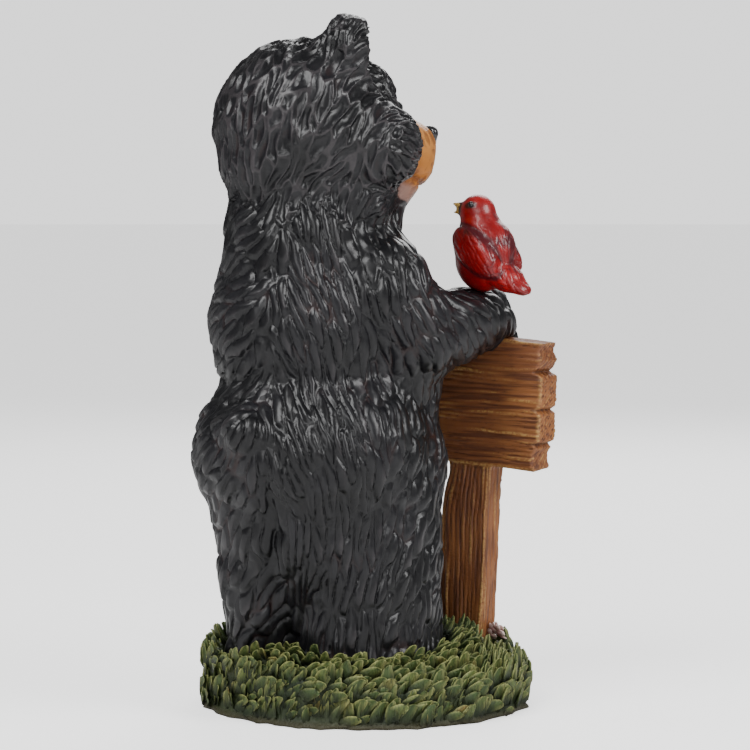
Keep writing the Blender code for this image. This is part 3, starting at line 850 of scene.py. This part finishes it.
sign = skin_of("sign", "wooden_sign", SIGN_VOXEL)
rubbed(sign.data, 2)
finer(sign, 1)
points = points_of(sign.data)
normals = normals_of(sign.data)
on_sign = local(points, SIGN)
on_board = local(points, BOARD)
is_board = on_sign[:, 2] > BOARD_FROM
along = np.where(is_board, on_sign[:, 0], on_sign[:, 2])
across = np.where(is_board, on_sign[:, 2], on_sign[:, 0])
groove = np.empty(len(points))
swell = np.empty(len(points))
for index, (run, width, deep) in enumerate(zip(along, across, on_sign[:, 1])):
    wander = field.noise(Vector((run / GRAIN_RUN, width / WANDER_WIDTH, deep / WANDER_WIDTH)))
    ripple = field.noise(Vector((run / RIPPLE_RUN, width / RIPPLE_WIDTH, deep / RIPPLE_WIDTH)))
    phase = (width + 0.8 * deep) / GRAIN_PITCH + 0.9 * wander + 0.30 * ripple
    line = math.floor(phase)
    fade = 0.62 + 0.9 * field.noise(Vector((run / FADE_RUN, line * 3.7, 0)))
    groove[index] = max((1 - abs(math.sin(math.pi * phase)) / 0.52) * fade, 0)
    lift = 0.3 + field.noise(Vector((run / SWELL_RUN, line * 5.3, 9)))
    swell[index] = math.sin(math.pi * (phase - line)) * lift
groove = np.clip(groove, 0, 1)
points = points - normals * (GRAIN_DEPTH * groove - GRAIN_RISE * swell)[:, None]
notch = np.zeros(len(points))
for rise in NOTCH_RISES:
    notch = np.maximum(notch, 1 - np.abs(on_board[:, 2] - rise) / NOTCH_REACH)
notch = notch * ease(np.abs(on_board[:, 0]), BOARD_HALF[0] - 0.009, BOARD_HALF[0] - 0.002) * is_board
inward = np.array(BOARD.to_3x3())[:, 0] * -np.sign(on_board[:, 0])[:, None]
points = points + inward * (NOTCH_DEPTH * notch)[:, None]
spread = POST_SPREAD * (1 - ease(on_sign[:, 2], 0.085, 0.107)) * ease(on_sign[:, 0], 0, 0.014)
points = points + np.array(SIGN.to_3x3())[:, 0] * spread[:, None]
groove = np.maximum(groove, 0.8 * notch)
set_points(sign.data, points)
edge = np.where(
    is_board,
    near_edge(on_board, BOARD_HALF),
    near_edge(on_sign[:, :2], POST_HALF),
)
edge = 1 - ease(edge, 0.0005, 0.0030)
keep(sign, groove=groove, edge=edge, swell=swell, plank=is_board.astype(float))
thinned(sign, SIGN_TRIANGLES)
smooth_shaded(sign)

wood_paint = Finish("brown_wood_paint")
cut = wood_paint.stored("groove")
edge_highlight = wood_paint.stored("edge")
wide = wood_paint.noise(22, detail=4)
grit = wood_paint.noise(640, detail=3)
streak = wood_paint.stored("swell")
on_plank = wood_paint.stored("plank")
fibres = wood_paint.noise(420, stretch=(0.05, 1, 1)) * on_plank
fibres = fibres + wood_paint.noise(420, stretch=(1, 1, 0.05)) * (1 - on_plank)
brown = wood_paint.mix(wide.ease(0.35, 0.65), (0.215, 0.072, 0.023), (0.320, 0.118, 0.036))
brown = wood_paint.mix(1 - fibres.ease(0.34, 0.52), brown, (0.115, 0.036, 0.013))
# Painted highlight: ochre on the raised grain and along the edges, kept out of the grooves.
ridge_highlight = streak.ease(0.05, 0.65) * fibres.ease(0.44, 0.60) * 0.8
ochre_share = (ridge_highlight + edge_highlight * 0.7) * (grit.ease(0.38, 0.60) * 0.75 + 0.15)
brown = wood_paint.mix(ochre_share * (1 - cut), brown, (0.52, 0.31, 0.095))
# Painted shade: dark brown in the grain grooves and the end notches.
brown = wood_paint.mix(cut.ease(0.30, 0.95) * 0.8, brown, (0.055, 0.018, 0.008))
wood_paint.worn_by(
    sign,
    Base_Color=brown,
    Roughness=0.42 + 0.22 * grit,
    Normal=wood_paint.bump(grit * 0.35 + fibres * 0.65, 0.0011, 0.8),
)
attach(sign, "root")
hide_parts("sign")

# The bird is a small casting glued to the paw, red with darker blotches. Painted shade darkens the cut
# round each wing, the feather hollows, the gap between the wings and a band under the head. Its wings and
# tail are cut as long feathers, and its head is smooth with a dark mask round the eye. It sings with an
# open beak.
BIRD = Matrix.Translation((-0.048, -0.044, 0.240)) @ Matrix.Rotation(math.radians(85), 4, "Z")
BIRD_STEP = 0.057 / 55
FEATHER_SIZE = (0.0140, 0.0034)
FEATHER_DEPTH = 0.00034
BIRD_HEAD_TURN = math.radians(20)
BIRD_HEAD_CENTRE = (0, 1.5, 43.5)
BIRD_VOXEL = 0.0011
BIRD_RUBS = 8
FEATHER_SEED = 7
WING_MIDDLE = (11, 8, 22)
WING_REACH = (9, 20.5, 11)
WING_SLOPE = -0.70
WING_CUT = 0.0009
BIRD_EYE_SPOT = (9.0, -1.7, 5.1)
BIRD_EYE_REACH = (0.0013, 0.0016, 0.0016)
BEAK_SIDES = 12
UPPER_BEAK = ((0, -7, 3.4), (0, -9, 3.9), (0, -11.5, 4.8), (0, -13.5, 5.4), (0, -15.3, 5.4))
LOWER_BEAK = ((0, -7, 1.2), (0, -9, 1.0), (0, -11, 0.8), (0, -13, 0.6), (0, -14.8, 0.7))


def bird_spot(x, y, z):
    return Vector((x, y, z)) * BIRD_STEP


bird = skin_of("bird", "red_bird", BIRD_VOXEL)
rubbed(bird.data, BIRD_RUBS)
finer(bird, 1)
points = points_of(bird.data)
normals = normals_of(bird.data)
inside = local(points, BIRD) / BIRD_STEP
wing = inside.copy()
wing[:, 0] = np.abs(wing[:, 0])
wing_turn = np.array(Euler((WING_SLOPE, 0, 0)).to_matrix())
in_wing = (wing - np.array(WING_MIDDLE)) @ wing_turn
wing_reach = np.linalg.norm(in_wing / np.array(WING_REACH), axis=1)
wing_edge = np.exp(-(((wing_reach - 1) / 0.075) ** 2)) * ease(wing[:, 0], 5, 9)
on_wing = (1 - ease(wing_reach, 0.92, 1.0)) * ease(wing[:, 0], 5, 9)
on_tail = ease(inside[:, 1], 17, 21)
flow = np.zeros_like(points)
flow[:] = np.array(BIRD.to_3x3() @ Vector((0, 1, -0.75)))
sizes = np.tile(FEATHER_SIZE, (len(points), 1))
edge, side, along, _ = marks(points, normals, flow, sizes, FEATHER_SEED)
feathers = lock_relief(edge, side, along) * np.clip(on_wing + on_tail, 0, 1)
soft = lock_relief(edge, side, along) * (1 - np.clip(on_wing + on_tail, 0, 1)) * 0.25
soft = soft * (1 - ease(inside[:, 2], 34, 40))
points = points + normals * (FEATHER_DEPTH * (feathers + soft) - WING_CUT * wing_edge)[:, None]
set_points(bird.data, points)
bird_head = Matrix.Translation(BIRD_HEAD_CENTRE) @ Matrix.Rotation(BIRD_HEAD_TURN, 4, "Z")
facing = local(inside, bird_head)
facing[:, 0] = np.abs(facing[:, 0])
eye_gap = np.linalg.norm((facing - np.array((8.8, -2.6, 4.9))) / np.array((1, 1.5, 0.8)), axis=1)
beak_root = np.linalg.norm(facing - np.array((0, -9.6, 2.4)), axis=1)
mask = np.maximum(1 - ease(eye_gap, 1.9, 3.6), 1 - ease(beak_root, 3.6, 5.6))
on_beak = ease(-facing[:, 1], 10.6, 11.4) * ease(inside[:, 2], 36, 38)
# Painted shade: darker between the wings, in a band under the head, along the wing cut and in the feather
# hollows.
between = np.exp(-((inside[:, 0] / 3.2) ** 2)) * ease(inside[:, 1], 8, 14)
between = between * (1 - ease(inside[:, 1], 26, 34))
under_head_shade = np.exp(-(((inside[:, 2] - 35.5 + 0.35 * inside[:, 1]) / 2.6) ** 2)) * 0.75
shade = wing_edge + 0.5 * np.clip(-feathers, 0, 1) + 0.8 * between + under_head_shade
keep(bird, groove=shade, mask=mask, beak=on_beak)
smooth_shaded(bird)

red_paint = Finish("red_bird_paint")
blotch = red_paint.noise(60, detail=4)
speck = red_paint.noise(800, detail=2)
red = red_paint.mix(blotch.ease(0.35, 0.65), (0.21, 0.0015, 0.003), (0.35, 0.003, 0.004))
# Painted shade from the grooves, mixed with random darker blotches of the red.
shade_and_blotches = red_paint.stored("groove") * 0.8 + blotch.ease(0.56, 0.70) * 0.45
red = red_paint.mix(shade_and_blotches.ease(0.10, 0.95) * 0.85, red, (0.045, 0.003, 0.008))
red = red_paint.mix(red_paint.stored("mask") * 0.92, red, (0.020, 0.006, 0.007))
red = red_paint.mix(red_paint.stored("beak"), red, (0.52, 0.33, 0.085))
red_paint.worn_by(
    bird,
    Base_Color=red,
    Roughness=0.30 + 0.12 * speck,
    Normal=red_paint.bump(speck, 0.00025, 0.6),
    Coat_Weight=0.25,
    Coat_Roughness=0.16,
)
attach(bird, "root")
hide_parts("bird")

for side, aside in (("right", -1), ("left", 1)):
    spot = bird_head @ (Vector(BIRD_EYE_SPOT) * Vector((aside, 1, 1)))
    place = BIRD @ Matrix.Translation(bird_spot(*spot))
    piece = pad(f"bird_eye_{side}", place, BIRD_EYE_REACH, lambda points: points)
    gloss_black.worn_by(piece, **GLOSS)
    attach(piece, "root")

beak_paint = Finish("yellow_beak_paint")
horn = beak_paint.noise(500, detail=2)
beak_yellow = beak_paint.mix(horn.ease(0.3, 0.7), (0.40, 0.235, 0.050), (0.62, 0.42, 0.12))
rows, faces = [], []
for path, width in ((UPPER_BEAK, 3.0), (LOWER_BEAK, 2.6)):
    first = len(rows)
    track = [BIRD @ bird_spot(*(bird_head @ Vector(spot))) for spot in path]
    widths = [width * BIRD_STEP * share for share in (1.0, 0.72, 0.38)]
    rows += turned_points(track, widths, BEAK_SIDES, 0.72)
    faces += [tuple(first + corner for corner in face) for face in ring_skin(3, BEAK_SIDES)]
beak = finer(shape_from("bird_beak", rows, faces), 1)
smooth_shaded(beak)
beak_paint.worn_by(
    beak, Base_Color=beak_yellow, Roughness=0.3 + 0.1 * horn, Normal=beak_paint.bump(horn, 0.0002, 0.5)
)
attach(beak, "root")

# Small flowers stand in the grass at the front. They are part of the mound's casting, with pale pink
# petals round a yellow middle.
FLOWER_SPOTS = ((-120, 0.90), (-75, 0.86), (-55, 0.85))
FLOWERS_A_SPOT = 5
PETALS = 5
PETAL_SHARES = (0.15, 0.4, 0.7, 0.92)
PETAL_THICKNESS = 0.0014
FLOWER_REACH = 0.0052
FLOWER_RISE = 0.0290
FLOWER_SEED = 3
HEART_SIDES = 10
HEART_RISES = (-0.0012, -0.0004, 0.0004, 0.0009, 0.0012)
MOUND_RADIUS = 0.0985


def petal(place, angle, rows, faces, middles):
    """One petal: a closed cupped leaf that stands out from the flower's middle."""
    turn = place @ Matrix.Rotation(angle, 4, "Z")
    first = len(rows)
    profile = ((-1, 0.25), (0, -0.05), (1, 0.25), (0.6, -0.30), (-0.6, -0.30))
    points = [(0.0006, 0, 0)]
    for share in PETAL_SHARES:
        width = FLOWER_REACH * 0.42 * math.sin(math.pi * (0.10 + 0.78 * share))
        for across, up in profile:
            lift = FLOWER_REACH * (0.30 * share**2)
            points.append((share * FLOWER_REACH, across * width, lift + up * PETAL_THICKNESS))
    points.append((FLOWER_REACH, 0, FLOWER_REACH * 0.32))
    rows += [turn @ Vector(point) for point in points]
    middles += [0.0] + [share for share in PETAL_SHARES for _ in profile] + [1.0]
    skin = ring_skin(len(PETAL_SHARES), len(profile))
    faces += [tuple(first + corner for corner in face) for face in skin]


rows, faces, middles, hearts = [], [], [], []
luck = np.random.default_rng(FLOWER_SEED)
for angle, share in FLOWER_SPOTS:
    for number in range(FLOWERS_A_SPOT):
        bearing = math.radians(angle) + luck.uniform(-0.075, 0.075)
        radius = MOUND_RADIUS * share + luck.uniform(-0.006, 0.005)
        spot = Vector((radius * math.cos(bearing), radius * math.sin(bearing), 0))
        spot.z = FLOWER_RISE + luck.uniform(-0.001, 0.009)
        outward = Vector((spot.x, spot.y, 0.07)).normalized()
        place = Matrix.Translation(spot) @ outward.to_track_quat("Z", "Y").to_matrix().to_4x4()
        for leaf in range(PETALS):
            petal(place, 2 * math.pi * leaf / PETALS + number, rows, faces, middles)
        hearts.append(place @ Matrix.Translation((0, 0, 0.0008)))
flowers = shape_from("pink_flowers", rows, faces)
keep(flowers, out=np.array(middles))
petal_paint = Finish("pink_petal_paint")
veins = petal_paint.noise(500, detail=2)
out = petal_paint.stored("out")
pink = petal_paint.mix(out.ease(0.1, 0.9), (0.46, 0.16, 0.17), (0.74, 0.56, 0.52))
pink = petal_paint.mix(veins.ease(0.50, 0.70) * 0.5, pink, (0.42, 0.25, 0.20))
petal_paint.worn_by(
    flowers, Base_Color=pink, Roughness=0.5 + 0.15 * veins, Normal=petal_paint.bump(veins, 0.0003, 0.6)
)
heart_paint = Finish("yellow_heart_paint")
dots = heart_paint.noise(1500, detail=2)
heart_yellow = heart_paint.mix(dots.ease(0.35, 0.65), (0.40, 0.22, 0.03), (0.66, 0.46, 0.09))
rows, faces = [], []
for place in hearts:
    first = len(rows)
    track = [place @ Vector((0, 0, rise)) for rise in HEART_RISES]
    rows += turned_points(track, (0.0013, 0.0015, 0.0010), HEART_SIDES)
    faces += [tuple(first + corner for corner in face) for face in ring_skin(3, HEART_SIDES)]
heart = shape_from("flower_middles", rows, faces)
heart_paint.worn_by(
    heart,
    Base_Color=heart_yellow,
    Roughness=0.55 + 0.1 * dots,
    Normal=heart_paint.bump(dots, 0.0004, 0.8),
)
for piece in (flowers, heart):
    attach(piece, "root")

# The camera stands behind the bear and to its right, a little above the sign.
CAMERA_DISTANCE = 1.6
CAMERA_HEIGHT = 0.29
FOCAL_PIXELS = 2750
IMAGE_PIXELS = 750
CAMERA_AZIMUTH = math.radians(213)
HORIZON_ROW = 205
MIDDLE_COLUMN = 366
from_object = Vector((math.sin(CAMERA_AZIMUTH), -math.cos(CAMERA_AZIMUTH), 0))
to_right = Vector((-from_object.y, from_object.x, 0))
pitch = math.atan((IMAGE_PIXELS / 2 - HORIZON_ROW) / FOCAL_PIXELS)
yaw = math.atan((IMAGE_PIXELS / 2 - MIDDLE_COLUMN) / FOCAL_PIXELS)
sight = -from_object * math.cos(yaw) + to_right * math.sin(yaw)
sight = sight * math.cos(pitch) - Vector((0, 0, math.sin(pitch)))
lens = bpy.data.cameras.new("camera")
lens.sensor_width = 36
lens.lens = FOCAL_PIXELS / IMAGE_PIXELS * lens.sensor_width
camera = bpy.data.objects.new("camera", lens)
camera.location = from_object * CAMERA_DISTANCE + Vector((0, 0, CAMERA_HEIGHT))
camera.rotation_euler = sight.to_track_quat("-Z", "Y").to_euler()
bpy.context.scene.collection.objects.link(camera)
bpy.context.scene.camera = camera

# The statue stands on a pale studio floor in a white room, under four soft lights. The floor and the
# room look brighter to the camera than the light that they give.
FLOOR_RADIUS = 40
FLOOR_GLOW = 1.25
ROOM_LIGHT = 0.18
ROOM_GLOW = 1.40
LIGHTS_AIM = Vector((0, 0, 0.2))
floor_mesh = bpy.data.meshes.new("floor")
floor_shape = bmesh.new()
bmesh.ops.create_circle(floor_shape, cap_ends=True, segments=96, radius=FLOOR_RADIUS)
floor_shape.to_mesh(floor_mesh)
floor_shape.free()
floor = bpy.data.objects.new("floor", floor_mesh)
bpy.context.scene.collection.objects.link(floor)
pale_floor = Finish("pale_floor")
from_camera = pale_floor.node("ShaderNodeLightPath", {}, {}, "Is Camera Ray")
glow = pale_floor.mix(from_camera, (0, 0, 0), (1, 1, 1))
pale_floor.worn_by(
    floor, Base_Color=(0.86, 0.86, 0.86), Roughness=0.8, Emission_Color=glow, Emission_Strength=FLOOR_GLOW
)
room = bpy.data.worlds.new("white_room")
room.use_nodes = True
sky = Network(room.node_tree)
seen = sky.node("ShaderNodeLightPath", {}, {}, "Is Camera Ray")
sky.feed(room.node_tree.nodes["Background"].inputs["Color"], (1, 1, 1, 1))
sky.feed(room.node_tree.nodes["Background"].inputs["Strength"], ROOM_LIGHT + ROOM_GLOW * seen)
bpy.context.scene.world = room


def soft_light(name, azimuth, height, distance, size, power):
    lamp = bpy.data.lights.new(name, "AREA")
    lamp.size = size
    lamp.energy = power
    stand = bpy.data.objects.new(name, lamp)
    angle = math.radians(azimuth)
    stand.location = Vector((math.sin(angle) * distance, -math.cos(angle) * distance, height))
    aim = LIGHTS_AIM - stand.location
    stand.rotation_euler = aim.to_track_quat("-Z", "Y").to_euler()
    bpy.context.scene.collection.objects.link(stand)


soft_light("key", 172, 1.4, 1.2, 0.9, 25)
soft_light("side", 270, 0.9, 1.2, 0.6, 13)
soft_light("low", 205, 0.75, 2.0, 0.8, 9)
soft_light("front", 20, 1.3, 1.5, 1.2, 20)
